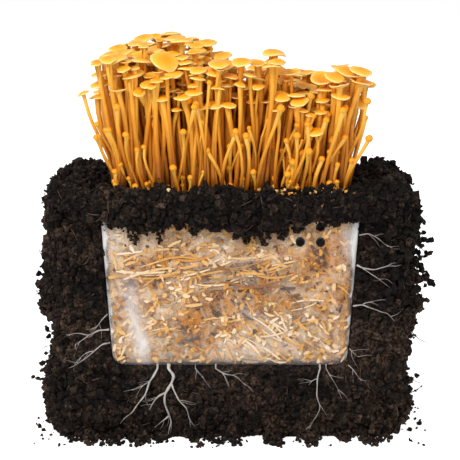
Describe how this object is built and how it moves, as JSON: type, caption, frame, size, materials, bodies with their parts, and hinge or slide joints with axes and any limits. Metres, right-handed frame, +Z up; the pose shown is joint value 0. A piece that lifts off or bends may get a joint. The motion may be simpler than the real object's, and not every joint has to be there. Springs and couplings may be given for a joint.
{
  "type": "enoki mushroom grow kit",
  "caption": "Clump of golden enoki growing from a clear film bag of colonised straw, set in a block of dark potting soil that is cut open at the front to show the mycelium.",
  "frame": {"origin": "middle of the soil block's flat underside", "axes": "+Z up along the mushrooms; -Y out of the cut face that shows the bag; +X to the right of a viewer who faces the cut face"},
  "size_m": [0.2424, 0.1551, 0.2493],
  "materials": {
    "potting_soil": "matte, crumbly",
    "straw_block": "matte, fibrous",
    "clear_film": "glossy clear film",
    "clump_base": "satin flesh",
    "mushroom_flesh": "satin flesh",
    "mycelium": "matte"
  },
  "bodies": {
    "root": {"soil": "potting_soil", "substrate_block": "straw_block", "grow_bag": "clear_film", "clump_base": "clump_base", "mushroom_01": "mushroom_flesh", "mushroom_02": "mushroom_flesh", "mushroom_03": "mushroom_flesh", "mushroom_04": "mushroom_flesh", "mushroom_05": "mushroom_flesh", "mushroom_06": "mushroom_flesh", "mushroom_07": "mushroom_flesh", "mushroom_08": "mushroom_flesh", "mushroom_09": "mushroom_flesh", "mushroom_10": "mushroom_flesh", "mushroom_11": "mushroom_flesh", "mushroom_12": "mushroom_flesh", "mushroom_13": "mushroom_flesh", "mushroom_14": "mushroom_flesh", "mushroom_15": "mushroom_flesh", "mushroom_16": "mushroom_flesh", "mushroom_17": "mushroom_flesh", "mushroom_18": "mushroom_flesh", "mushroom_19": "mushroom_flesh", "mushroom_20": "mushroom_flesh", "mushroom_21": "mushroom_flesh", "mushroom_22": "mushroom_flesh", "mushroom_23": "mushroom_flesh", "mushroom_24": "mushroom_flesh", "mushroom_25": "mushroom_flesh", "mushroom_26": "mushroom_flesh", "mushroom_27": "mushroom_flesh", "mushroom_28": "mushroom_flesh", "mushroom_29": "mushroom_flesh", "mushroom_30": "mushroom_flesh", "mushroom_31": "mushroom_flesh", "mushroom_32": "mushroom_flesh", "mushroom_33": "mushroom_flesh", "mushroom_34": "mushroom_flesh", "mushroom_35": "mushroom_flesh", "mushroom_36": "mushroom_flesh", "mushroom_37": "mushroom_flesh", "mushroom_38": "mushroom_flesh", "mushroom_39": "mushroom_flesh", "mushroom_40": "mushroom_flesh", "mushroom_41": "mushroom_flesh", "mushroom_42": "mushroom_flesh", "mushroom_43": "mushroom_flesh", "mushroom_44": "mushroom_flesh", "mycelium_strand_1": "mycelium", "mycelium_strand_2": "mycelium", "mycelium_strand_3": "mycelium", "mycelium_strand_4": "mycelium", "mycelium_strand_5": "mycelium", "mycelium_strand_6": "mycelium", "mycelium_strand_7": "mycelium", "mycelium_strand_8": "mycelium", "mycelium_strand_9": "mycelium"}
  },
  "joints": []
}
